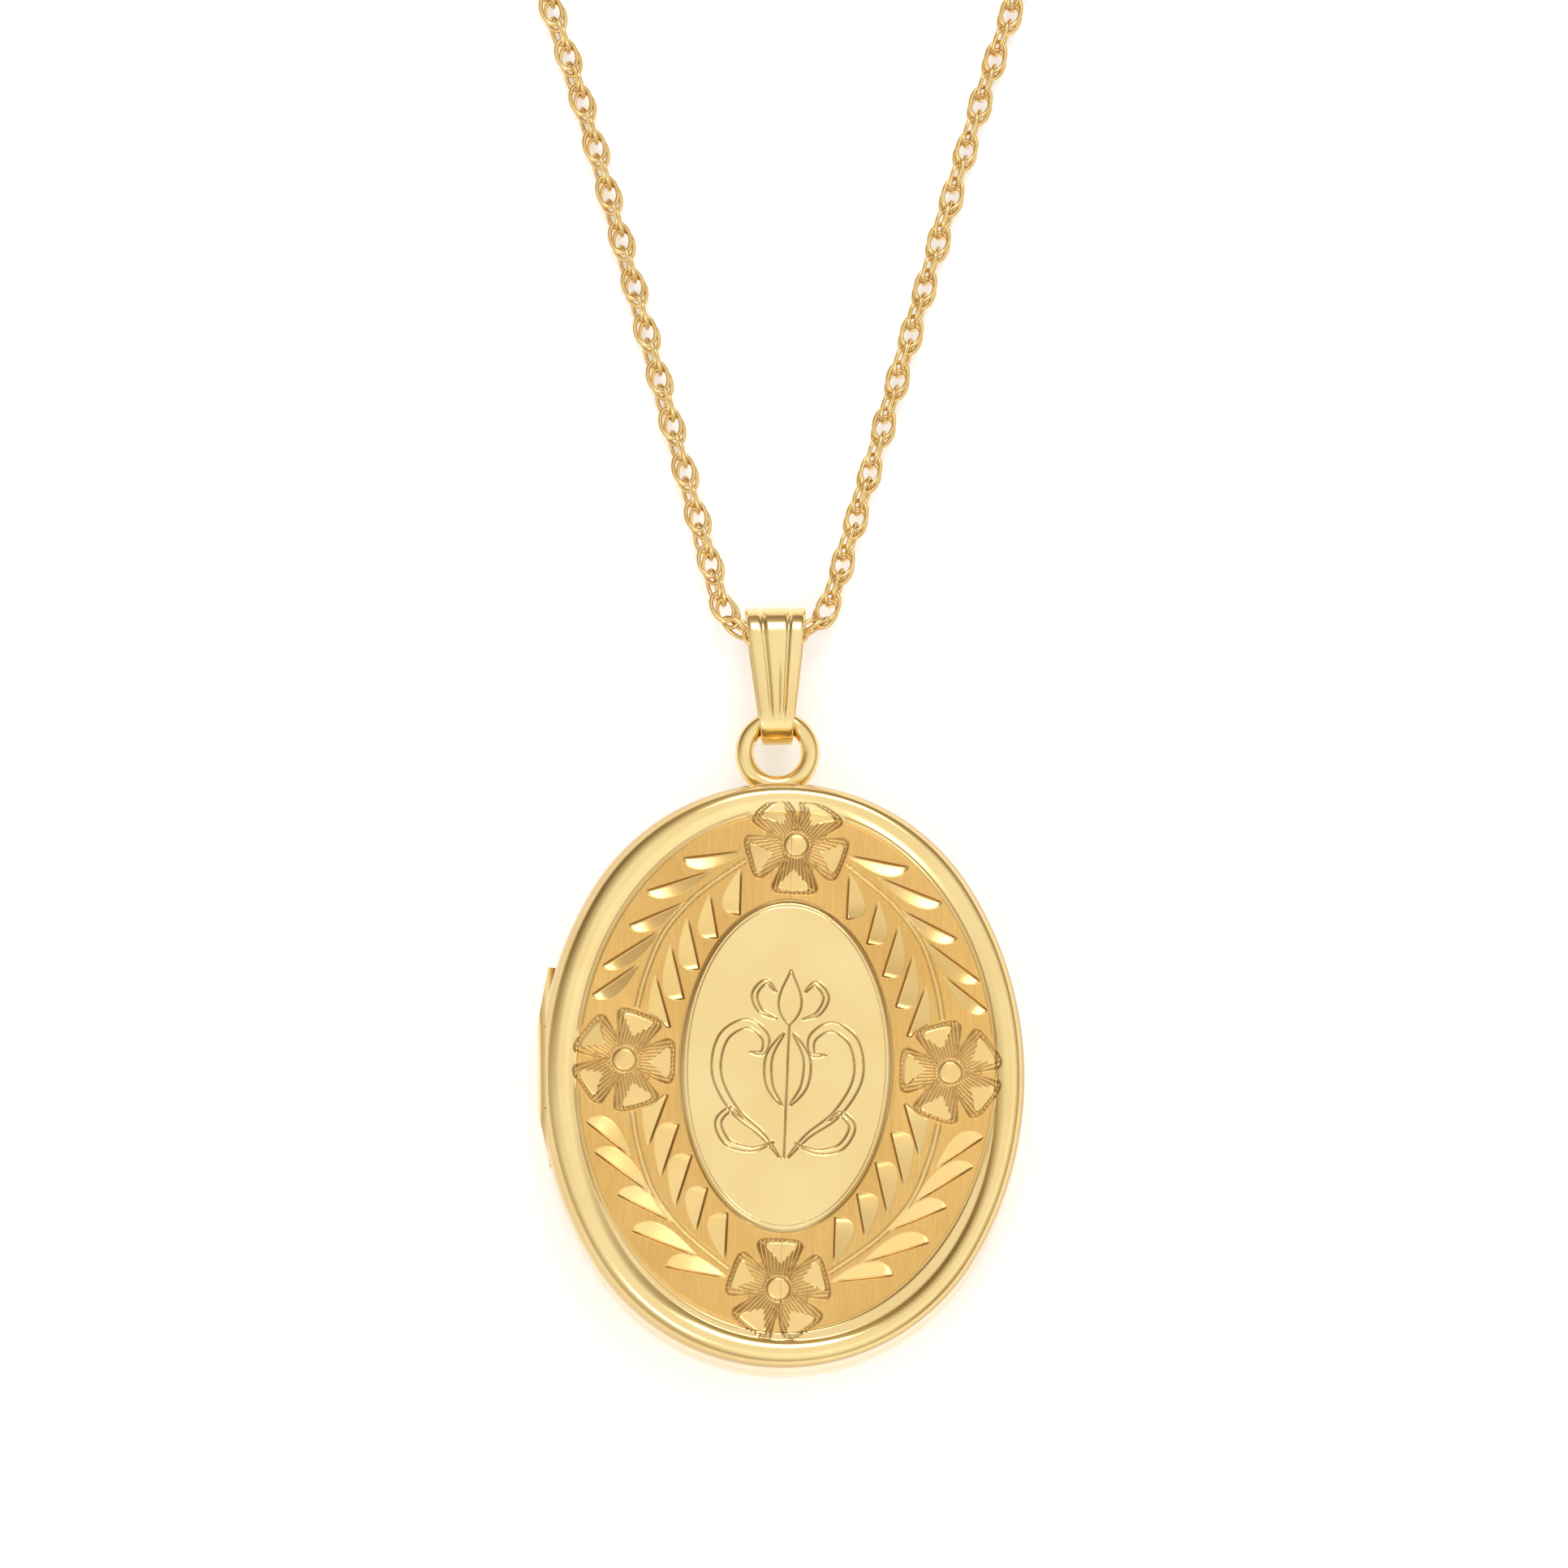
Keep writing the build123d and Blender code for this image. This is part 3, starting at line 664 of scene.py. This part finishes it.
def cover_edge(material):
    """Polished rim, wall, seam face and the inside of the cover, as one closed ring; the rim's turned
    shoulder gets painted shade.
    """
    border_x, border_y = face_oval(0, ANGLES)
    case_x, case_y = face_to_case(border_x, border_y)
    outer_x, outer_y = outline_at(ANGLES, 0)
    gap = np.hypot(outer_x - case_x, outer_y - case_y)
    rows, lines = [], []
    # Painted shade on the rim's turned shoulder, stronger towards +X, standing for the dark reflections
    # there.
    painted_shoulder_shade = SHOULDER_PAINTED_SHADE * (1 + 0.3 * np.cos(ANGLES))
    profile = rim_profile(gap)
    for share, z in profile:
        reach = share * gap
        stretch = 1 + reach / np.hypot(border_x, border_y)
        cut, _, line = engraving(border_x * stretch, border_y * stretch)
        fade = 1 - smooth_step(reach, OVERRUN - 0.15, OVERRUN)
        x = case_x + (outer_x - case_x) * share
        y = case_y + (outer_y - case_y) * share
        rows.append(np.stack([cut_flat(x, y), y, z + cut * fade], axis=-1))
        drop = CREST_Z - z
        shoulder_shade_share = smooth_step(drop, *SHADE_COMES) * (1 - smooth_step(drop, *SHADE_GOES))
        # The line attribute carries painted shade: in the grooves and on the shoulder.
        lines.append(np.maximum(line * fade, painted_shoulder_shade * shoulder_shade_share))
    wall_top = profile[-1][1]
    wall = [(0.0, u, wall_top) for u in np.linspace(0.08, 1, 12)]
    wall += [(SHEET / 2, 1.0, wall_top)]
    wall += [(SHEET, u, INNER_WALL_TOP_Z) for u in np.linspace(1, 0, 10)]
    for inset, down, top in wall:
        x, y = outline_at(ANGLES, inset)
        x = cut_flat(x, y) if inset < SHEET else x
        bottom = SEAM_Z + seam_rise(x, y)
        rows.append(np.stack([x, y, top + (bottom - top) * down], axis=-1))
    corner = INSIDE_TOP_Z - INNER_WALL_TOP_Z
    for angle in np.linspace(0, math.pi / 2, 7)[1:]:
        x, y = outline_at(ANGLES, SHEET + corner * (1 - math.cos(angle)))
        rows.append(np.stack([x, y, np.full_like(x, INNER_WALL_TOP_Z + corner * math.sin(angle))], axis=-1))
    x, y = outline_at(ANGLES, LEDGE)
    for z in (INSIDE_TOP_Z, PLATE_Z - PLATE_TUCK):
        rows.append(np.stack([x, y, np.full_like(x, z)], axis=-1))
    rows.append(np.stack([case_x, case_y, np.full_like(case_x, PLATE_Z - PLATE_TUCK)], axis=-1))
    faces = grid_faces(len(rows), EDGE_SEGMENTS, close_rows=True)
    flipped = [face[::-1] for face in faces]
    piece = mesh_piece("cover_edge", np.concatenate(rows), flipped, material)
    mark(piece, "line", np.concatenate(lines))
    return piece


# ---------------------------------------------------------------- medallion and its ornament
MEDALLION_GRID = (250, 350)      # points across and along
MEDALLION_STEP = 0.09            # how far it stands above the ground
MEDALLION_CROWN = 0.14           # and how much higher its middle is
EDGE_LINE = (0.05, 0.06)         # its edge lines: how far in, and half width
FINE_EDGE_LINE = (0.32, 0.05)
STROKES = [
    # control points of one half, widest half-spacing of the double line
    ([(0.16, -3.9), (0.95, -2.95), (2.15, -1.95), (2.95, -0.45), (2.75, 1.05), (1.8, 1.7), (1.0, 1.2),
      (1.05, 0.5), (1.6, 0.5)], 0.2),
    ([(0.45, -3.25), (1.35, -3.6), (2.35, -3.35), (2.8, -2.5), (2.3, -1.95), (1.8, -2.3)], 0.13),
    ([(0.16, -1.7), (0.72, -0.85), (0.78, 0.35), (0.2, 1.35)], 0.15),
    ([(0.55, 1.95), (1.2, 2.25), (1.5, 2.95), (1.05, 3.5), (0.6, 3.1)], 0.11),
]
BUD_TOP = 4.1
BUD_FOOT = 1.7
BUD_HALF_WIDTH = 0.48
STEM_FOOT = -3.9
ORNAMENT_LINE = 0.062            # half the width of an engraved line
ORNAMENT_DEPTH = 0.06


def double_line(x, y, points, spread_width):
    """Engraved stroke drawn as two fine lines that part and meet again: 0..1."""
    distance, where = path_distance(x, y, smooth_path(points, 9))
    gap = spread_width * np.sin(math.pi * np.clip(where, 0, 1)) ** 0.8
    return near_line(distance - gap, ORNAMENT_LINE)


def ornament(x, y):
    """Generic mirrored scroll with a bud: no letter, only a flourish.  0..1 in its lines."""
    ax = np.abs(x)
    line = np.zeros(x.shape)
    for points, spread_width in STROKES:
        line = np.maximum(line, double_line(ax, y, points, spread_width))
    along = np.clip((y - BUD_FOOT) / (BUD_TOP - BUD_FOOT), 0, 1)
    bud = BUD_HALF_WIDTH * np.sin(math.pi * along**0.75) ** 1.2
    in_bud = (y > BUD_FOOT) & (y < BUD_TOP)
    line = np.maximum(line, np.where(in_bud, near_line(ax - bud, ORNAMENT_LINE), 0))
    stem = segment_distance(ax, y, (0, STEM_FOOT), (0, BUD_FOOT))
    return np.maximum(line, near_line(stem, ORNAMENT_LINE))


def medallion(material):
    """Raised polished oval with a grooved edge, engraved with the ornament."""
    columns, rows = MEDALLION_GRID
    u, v = np.meshgrid(np.linspace(-1, 1, columns), np.linspace(-1, 1, rows))
    disc_x, disc_y = u * np.sqrt(1 - v * v / 2), v * np.sqrt(1 - u * u / 2)
    q = np.hypot(disc_x, disc_y)
    x = MEDALLION_CENTRE[0] + MEDALLION[0] * disc_x
    y = MEDALLION_CENTRE[1] + MEDALLION[1] * disc_y
    inward = (1 - q) * np.hypot(MEDALLION[0] * disc_x, MEDALLION[1] * disc_y) / np.maximum(q, 1e-6)
    strong = near_line(inward - EDGE_LINE[0], EDGE_LINE[1])
    fine = near_line(inward - FINE_EDGE_LINE[0], FINE_EDGE_LINE[1])
    edge_line = np.maximum(strong, 0.55 * fine)
    line = np.maximum(ornament(*to_pattern(x, y)), 0.9 * edge_line)
    base = float(ground_height(1))
    z = base + MEDALLION_STEP * smooth_step(inward, 0.07, 0.26) + MEDALLION_CROWN * (1 - q * q)
    z = z - ORNAMENT_DEPTH * line
    top = np.stack([*face_to_case(x, y), z], axis=-1).reshape(-1, 3)
    faces = grid_faces(rows, columns, close_columns=False)
    rim = list(range(columns)) + [r * columns + columns - 1 for r in range(1, rows)]
    rim += [(rows - 1) * columns + c for c in range(columns - 2, -1, -1)]
    rim += [r * columns for r in range(rows - 2, 0, -1)]
    skirt = top[rim].copy()
    skirt[:, 2] = PLATE_Z
    start = len(top)
    for k, here in enumerate(rim):
        after = (k + 1) % len(rim)
        faces.append([here, start + k, start + after, rim[after]])
    faces.append([start + k for k in range(len(rim))][::-1])
    piece = mesh_piece("cover_medallion", np.concatenate([top, skirt]), faces, material)
    # The line attribute paints shade into the ornament's grooves and the edge lines.
    mark(piece, "line", line.reshape(-1))
    return piece


# ---------------------------------------------------------------- bail
RING_Y = 14.08
RING_Z = 2.2
RING_RADIUS = 1.4
BAIL_SHEET = 0.32
BAIL_FOOT = (RING_Y + RING_RADIUS, RING_Z, 0.76)  # y, z and radius of the fold round the ring
BAIL_TOP = (18.95, 1.5, 1.18)    # and of the fold round the chain
BAIL_TOP_WIDTH = 2.6
BAIL_FOOT_WIDTH = 1.3
BAIL_INNER_SHARE = 0.985         # the inner face is this much of the strip's width
BAIL_ROUNDING = 0.06             # of the strip's long edges
BAIL_STEPS = (34, 34, 24, 28)    # front leaf, round the chain, back leaf, round the ring
BAIL_ACROSS = (61, 9)            # points across the outer and the inner face


def bail_loop():
    """Points (y, z), outward normals and front share of the strip's inner face, round the loop."""
    foot = np.array(BAIL_FOOT[:2])
    top = np.array(BAIL_TOP[:2])
    r_foot, r_top = BAIL_FOOT[2], BAIL_TOP[2]
    span = np.linalg.norm(top - foot)
    along = (top - foot) / span
    across = np.array([-along[1], along[0]])
    lean = math.asin((r_top - r_foot) / span)

    def normal(side):
        return across * side * math.cos(lean) - along * math.sin(lean)

    front, back = normal(1), normal(-1)
    front_angle = math.atan2(front[1], front[0])
    back_angle = math.atan2(back[1], back[0])
    loop = []
    for u in np.linspace(0, 1, BAIL_STEPS[0])[:-1]:
        reach = top + front * r_top - foot - front * r_foot
        loop.append((foot + front * r_foot + u * reach, front, 1.0))
    for u in np.linspace(0, 1, BAIL_STEPS[1])[:-1]:
        angle = front_angle + (back_angle - front_angle) * u
        n = np.array([math.cos(angle), math.sin(angle)])
        loop.append((top + n * r_top, n, float(1 - smooth_step(u, 0.25, 0.6))))
    for u in np.linspace(0, 1, BAIL_STEPS[2])[:-1]:
        reach = foot + back * r_foot - top - back * r_top
        loop.append((top + back * r_top + u * reach, back, 0.0))
    for u in np.linspace(0, 1, BAIL_STEPS[3])[:-1]:
        angle = back_angle - (2 * math.pi - (front_angle - back_angle)) * u
        n = np.array([math.cos(angle), math.sin(angle)])
        loop.append((foot + n * r_foot, n, float(smooth_step(u, 0.6, 1.0))))
    return loop


def bail_relief(v, down):
    """Flutes of the front leaf: v runs 0..1 across, down 0 (top) to 1 (foot)."""
    left = 0.27 + 0.10 * down
    right = 0.74 - 0.03 * down
    fade = 1 - smooth_step(down, 0.72, 0.95)
    grooves = 0.075 * np.exp(-(((v - left) / 0.045) ** 2))
    grooves = grooves + 0.085 * np.exp(-(((v - right) / 0.035) ** 2))
    lower = 0.045 * np.exp(-(((v - 0.55) / 0.05) ** 2)) * smooth_step(down, 0.3, 0.6)
    crown = 0.05 * np.sin(math.pi * np.clip(v, 0, 1)) ** 0.5
    return crown - (grooves + lower) * fade


def bail(material):
    """Tapered strip folded round ring and chain, its front leaf fluted."""
    loop = bail_loop()
    foot_y = BAIL_FOOT[0] - BAIL_FOOT[2]
    top_y = BAIL_TOP[0] + BAIL_TOP[2]
    across = np.linspace(0, 1, BAIL_ACROSS[0])
    back_across = np.linspace(1, 0, BAIL_ACROSS[1])
    rounding = BAIL_ROUNDING * (1 - np.sqrt(np.clip(1 - np.abs(2 * across - 1) ** 14, 0, 1)))
    rows = []
    for point, normal, front in loop:
        share = float(np.clip((point[0] - foot_y) / (top_y - foot_y), 0, 1))
        half = (BAIL_FOOT_WIDTH + (BAIL_TOP_WIDTH - BAIL_FOOT_WIDTH) * share) / 2
        lift = BAIL_SHEET + bail_relief(across, 1 - share) * front - rounding - 0.03
        outer = [(half * (2 * v - 1), *(point + normal * h)) for v, h in zip(across, lift)]
        inner = [(half * (2 * v - 1) * BAIL_INNER_SHARE, *point) for v in back_across]
        rows.append(np.array(outer + inner))
    columns = len(rows[0])
    faces = grid_faces(len(rows), columns, close_rows=True)
    return mesh_piece("bail_strip", np.concatenate(rows), faces, material)


# ---------------------------------------------------------------- chain
FLOOR_Z = 0.56                   # the chain's middle where it lies on the surface
CHAIN_START = (0.0, 19.24, 1.2)  # inside the bail
TURN_OUT = 1.9                   # where each strand turns towards its far end, beside the bail
TURN_Y = 19.24
STRAND_FAR = {-1: (-9.16, 47.7), 1: (10.55, 47.4)}
STRAND_STEPS = ((3.9, 0.8), (11.4, FLOOR_Z))  # distance from the turn, and height there
APPROACH_LENGTH = 10.5
APPROACH_ANGLE = math.radians(25)
COIL_OUTER = 6.85
COIL_INNER = 4.06
COIL_TURNS = 5 + 25 / 360
COIL_POINTS_PER_TURN = 18
CLIMB = (0.47, 0.53)             # shares of the coil between which it climbs to its upper layer
TOP_LAYER_Z = 1.66               # the chain's middle where it lies on other turns
# From the coil to the end fitting: length, heading in degrees, height at its end.
TAIL = ((4.0, 0, 1.3), (3.2, 20, FLOOR_Z), (3.2, 45, FLOOR_Z), (2.8, 70, FLOOR_Z))
PAIR_PITCH = 1.05                # links come in pairs, each pair hooked through the next
PAIR_SHIFT = 0.15                # how far each of a pair lies ahead of or behind its place
PAIR_PART = 0.10                 # and to either side of the pair's plane
PAIR_SLIP = 0.03                 # and across it
PAIR_SPLAY = 9.0                 # degrees either way
PAIR_TURNS = (10.0, 72.0)        # degrees, one pair and the next
PAIR_WANDER = 7                  # degrees of unevenness either way
LINK_HALF_LENGTH = 0.67          # to the middle of its wire
LINK_HALF_WIDTH = 0.43
LINK_WIRE = 0.095                # half its thickness
LINK_STEPS = (22, 8)             # points along the link and round its wire


def strand_route(side):
    """Out of the bail, down to the surface and straight on, then to where the coil begins."""
    turn = np.array([side * TURN_OUT, TURN_Y, CHAIN_START[2]])
    far = np.array([*STRAND_FAR[side], FLOOR_Z])
    level = far - turn
    level[2] = 0
    level /= np.linalg.norm(level)
    points = [np.array(CHAIN_START), turn]
    for step, z in STRAND_STEPS:
        point = turn + level * step
        point[2] = z
        points.append(point)
    points.append(far)
    lean = np.array([side * math.sin(APPROACH_ANGLE), math.cos(APPROACH_ANGLE), 0])
    points.append(far + lean * APPROACH_LENGTH)
    return points


def chain_route(side):
    """Control points of one half of the chain, from the middle of the bail to its end fitting."""
    points = strand_route(side)
    touch = points[-1]
    inwards = np.array([-side * math.cos(APPROACH_ANGLE), math.sin(APPROACH_ANGLE), 0])
    centre = touch + COIL_OUTER * inwards
    count = round(COIL_TURNS * COIL_POINTS_PER_TURN)
    for k in range(1, count + 1):
        share = k / count
        angle = share * COIL_TURNS * 2 * math.pi - APPROACH_ANGLE
        radius = COIL_OUTER + (COIL_INNER - COIL_OUTER) * (1 - abs(1 - 2 * share))
        climb = float(smooth_step(share, *CLIMB))
        rise = (TOP_LAYER_Z - FLOOR_Z) * climb
        points.append(centre + np.array([side * radius * math.cos(angle), radius * math.sin(angle), rise]))
    here = points[-1]
    for run, heading, z in TAIL:
        turn = math.radians(heading)
        here = here + np.array([-side * math.sin(turn), math.cos(turn), 0]) * run
        here[2] = z
        points.append(here)
    return points


def follow(points):
    """Points of the smooth line that the route's control points steer."""
    curve = bpy.data.curves.new("route", "CURVE")
    curve.dimensions = "3D"
    curve.resolution_u = 12
    spline = curve.splines.new("NURBS")
    spline.points.add(len(points) - 1)
    for control, point in zip(spline.points, points):
        control.co = (*(np.array(point) * MM), 1.0)
    spline.order_u = 3
    spline.use_endpoint_u = True
    holder = bpy.data.objects.new("route", curve)
    mesh = bpy.data.meshes.new_from_object(holder)
    line = [v.co.copy() for v in mesh.vertices]
    bpy.data.meshes.remove(mesh)
    bpy.data.objects.remove(holder)
    bpy.data.curves.remove(curve)
    return line


def places_along(line, spacing):
    """Points and directions along a line, spaced as near to the given spacing as fills it."""
    stations = np.array(line)
    runs = np.linalg.norm(np.diff(stations, axis=0), axis=1)
    marks = np.concatenate([[0], np.cumsum(runs)])
    count = round(marks[-1] / spacing)
    wanted = (np.arange(count) + 0.5) * marks[-1] / count

    def at(distances):
        return np.stack([np.interp(distances, marks, stations[:, k]) for k in range(3)], axis=-1)

    direction = at(wanted + spacing * 0.5) - at(wanted - spacing * 0.5)
    direction /= np.linalg.norm(direction, axis=1)[:, None]
    return at(wanted), direction


def link_shape():
    """One oval link of round wire: points in (along, across, out) and its faces."""
    along_link = np.linspace(0, 2 * math.pi, LINK_STEPS[0], endpoint=False)
    section = np.linspace(0, 2 * math.pi, LINK_STEPS[1], endpoint=False)
    points = []
    for a in along_link:
        centre = np.array([LINK_HALF_LENGTH * math.cos(a), LINK_HALF_WIDTH * math.sin(a), 0])
        outward = np.array([math.cos(a) / LINK_HALF_LENGTH, math.sin(a) / LINK_HALF_WIDTH, 0])
        outward /= np.linalg.norm(outward)
        for b in section:
            ring = outward * math.cos(b) + np.array([0, 0, math.sin(b)])
            points.append(centre + LINK_WIRE * ring)
    faces = grid_faces(LINK_STEPS[0], LINK_STEPS[1], close_rows=True)
    return np.array(points), faces


def chain_half(name, side, line, material):
    """Pairs of oval links, each pair hooked through the pairs before and after it."""
    rng = np.random.default_rng(11 + side)
    where, direction = places_along(line, PAIR_PITCH * MM)
    shape, shape_faces = link_shape()
    points, faces = [], []
    for k, (place, along) in enumerate(zip(where, direction)):
        across = np.cross([0, 0, 1.0], along)
        across /= np.linalg.norm(across)
        out = np.cross(along, across)
        pair_turn = side * (PAIR_TURNS[k % 2] + rng.uniform(-PAIR_WANDER, PAIR_WANDER))
        for half in (-1, 1):
            turn = math.radians(pair_turn + half * PAIR_SPLAY)
            u = across * math.cos(turn) + out * math.sin(turn)
            v = np.cross(along, u)
            centre = place / MM + half * (PAIR_SHIFT * along + PAIR_SLIP * u + PAIR_PART * v)
            start = len(points) * len(shape)
            points.append(centre + shape @ np.array([along, u, v]))
            faces.extend([[i + start for i in face] for face in shape_faces])
    return mesh_piece(name, np.concatenate(points), faces, material)


# ---------------------------------------------------------------- clasp spring
SPRING_RADIUS = 0.2
SPRING_WIRE = 0.045
SPRING_TURNS = 15
SPRING_STEPS = 12                # points in a turn
SPRING_SIDES = 6
SPRING_SPAN = (59, 97)           # degrees along the clasp's tube
CLASP_CENTRE = (-4.727, 71.621)
CLASP_RADIUS = 2.3
CLASP_Z = 0.45
CLASP_TURN = 110                 # degrees, how the clasp lies


def clasp_spring(material):
    """Fine coil spring in the clasp's tube, bent along it."""
    centre = np.array([*CLASP_CENTRE, CLASP_Z])
    start, end = (math.radians(a + CLASP_TURN) for a in SPRING_SPAN)
    count = SPRING_TURNS * SPRING_STEPS
    up = np.array([0, 0, 1.0])
    rows = []
    for k in range(count + 1):
        share = k / count
        bend = start + (end - start) * share
        spin = share * SPRING_TURNS * 2 * math.pi
        radial = np.array([math.cos(bend), math.sin(bend), 0])
        out = radial * math.cos(spin) + up * math.sin(spin)
        centre_line = centre + radial * CLASP_RADIUS + out * SPRING_RADIUS
        along = np.array([-math.sin(bend), math.cos(bend), 0])
        for a in np.linspace(0, 2 * math.pi, SPRING_SIDES, endpoint=False):
            rows.append(centre_line + SPRING_WIRE * (out * math.cos(a) + along * math.sin(a)))
    faces = grid_faces(count + 1, SPRING_SIDES)
    faces.append(list(range(SPRING_SIDES))[::-1])
    faces.append([count * SPRING_SIDES + i for i in range(SPRING_SIDES)])
    return mesh_piece("clasp_coil_spring", rows, faces, material)


# ---------------------------------------------------------------- stage
CAMERA_TURN = math.radians(0.8)
CAMERA_ELEVATION = math.radians(80)
CAMERA_DISTANCE = 0.45           # metres
VIEW_WIDTH = 0.0662              # metres across the picture at the aim
SENSOR_MM = 36.0
AIM = (0.262, 12.657, 2.7)
FLOOR_HALF = 600.0


def camera():
    """From straight in front of the locket's foot, high above it."""
    data = bpy.data.cameras.new("camera")
    data.sensor_width = SENSOR_MM
    data.lens = SENSOR_MM * CAMERA_DISTANCE / VIEW_WIDTH
    data.clip_start = 0.01
    holder = bpy.data.objects.new("camera", data)
    bpy.context.scene.collection.objects.link(holder)
    aim = Vector(AIM) * MM
    back = Vector((
        -math.sin(CAMERA_TURN) * math.cos(CAMERA_ELEVATION),
        -math.cos(CAMERA_TURN) * math.cos(CAMERA_ELEVATION),
        math.sin(CAMERA_ELEVATION),
    ))
    holder.location = aim + back * CAMERA_DISTANCE
    holder.rotation_euler = (-back).to_track_quat("-Z", "Y").to_euler()
    bpy.context.scene.camera = holder


def area_light(name, place, size, power):
    """White soft box, aimed at the middle of the case; place and size in metres, power in watts."""
    data = bpy.data.lights.new(name, "AREA")
    data.shape = "RECTANGLE"
    data.size, data.size_y = size
    data.energy = power
    holder = bpy.data.objects.new(name, data)
    bpy.context.scene.collection.objects.link(holder)
    holder.location = place
    holder.rotation_euler = (-Vector(place)).to_track_quat("-Z", "Y").to_euler()


SKY_BASE = 0.34
SKY_PATCHES = [
    # direction, half-angle of the full patch and of its faded edge (degrees), change in brightness
    ((0.0, 0.1, 1.0), 16, 84, 0.70),
    ((-0.62, 0.55, 0.62), 6, 40, -0.30),
    ((0.35, 0.85, 0.45), 5, 34, -0.15),
    ((0.15, -0.75, 0.65), 10, 42, 0.30),
    ((0.85, -0.1, 0.5), 8, 42, 0.26),
    ((-0.95, -0.35, 0.1), 15, 60, 0.25),
    ((0.1, -1.0, 0.1), 10, 50, 0.22),
]


def room_light():
    """Pale room whose brightness drifts between soft patches."""
    world = bpy.data.worlds.new("room")
    world.use_nodes = True
    tree = world.node_tree
    place = add_node(tree, "ShaderNodeTexCoord")
    total = None
    for direction, full, faded, change in SKY_PATCHES:
        towards = add_node(tree, "ShaderNodeVectorMath", operation="DOT_PRODUCT")
        towards.inputs[1].default_value = Vector(direction).normalized()
        tree.links.new(place.outputs["Generated"], towards.inputs[0])
        fade = add_node(tree, "ShaderNodeMapRange", interpolation_type="SMOOTHSTEP")
        fade.inputs["From Min"].default_value = math.cos(math.radians(faded))
        fade.inputs["From Max"].default_value = math.cos(math.radians(full))
        fade.inputs["To Max"].default_value = change
        tree.links.new(towards.outputs["Value"], fade.inputs["Value"])
        join = add_node(tree, "ShaderNodeMath", operation="ADD")
        join.inputs[1].default_value = SKY_BASE
        if total is not None:
            tree.links.new(total, join.inputs[1])
        tree.links.new(fade.outputs["Result"], join.inputs[0])
        total = join.outputs[0]
    background = tree.nodes["Background"]
    tint = ramp(tree, total, [(0.3, (1.0, 0.80, 0.57)), (0.92, (1.0, 0.99, 0.975))])
    tree.links.new(tint, background.inputs["Color"])
    tree.links.new(total, background.inputs["Strength"])
    bpy.context.scene.world = world


def studio():
    """Pale room with one soft box beyond the chain and a weaker one at the front left."""
    room_light()
    area_light("back_box", (0.05, 0.5, 0.45), (0.35, 0.25), 0.9)
    area_light("front_left_box", (-0.35, -0.35, 0.6), (0.25, 0.25), 0.5)
    bpy.context.scene.view_settings.view_transform = "Standard"


def floor(material):
    """Level surface under the locket."""
    points = [(x * FLOOR_HALF, y * FLOOR_HALF, 0) for x, y in ((-1, -1), (1, -1), (1, 1), (-1, 1))]
    table = mesh_piece("table", points, [[0, 1, 2, 3]], material, smooth=False)


# ---------------------------------------------------------------- assembly
camera()
studio()
floor(pale_floor("white_acrylic"))

polished = polished_gold("polished_gold")
engraved = engraved_gold("engraved_gold")
links_gold = chain_gold("chain_gold")
inside = inside_gold("inside_gold")
steel = spring_steel("spring_steel")
window = clear_plastic("clear_window")
paper = photo_paper("photo_paper")

for side, name, fitting in ((-1, "left", "clasp_body"), (1, "right", "end_ring")):
    line = follow(chain_route(side))
    piece = chain_half(f"links_{name}", side, line, links_gold)
    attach(piece, "chain")
    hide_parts(f"chain_{name}", f"coil_{name}", f"chain_{name}_tail")

right_band = engraved_band("cover_band_right", -math.pi / 2, math.pi / 2, engraved)
left_band = engraved_band("cover_band_left", math.pi / 2, 3 * math.pi / 2, engraved)
for piece in (right_band, left_band, cover_edge(polished), medallion(polished)):
    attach(piece, "cover")
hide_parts("front_shell")

strip = bail(polished)
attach(strip, "bail")
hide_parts("bail")

spring = clasp_spring(steel)
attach(spring, "chain")
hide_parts("clasp_spring")

NODE_FINISH = {
    "back_shell": polished,
    "back_rim": inside,
    "back_frame": inside,
    "back_window": window,
    "back_photo": paper,
    "hinge_knuckle_upper": polished,
    "hinge_knuckle_lower": polished,
    "hinge_knuckle_middle": polished,
    "hinge_pin": inside,
    "catch_keeper": inside,
    "catch_tongue": inside,
    "hanger_ring": polished,
    "front_rim": inside,
    "front_frame": inside,
    "front_window": window,
    "front_photo": paper,
    "clasp_body": links_gold,
    "clasp_eye": links_gold,
    "clasp_trigger": links_gold,
    "end_ring": links_gold,
}
for node, material in NODE_FINISH.items():
    finish_with(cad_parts[node], material)
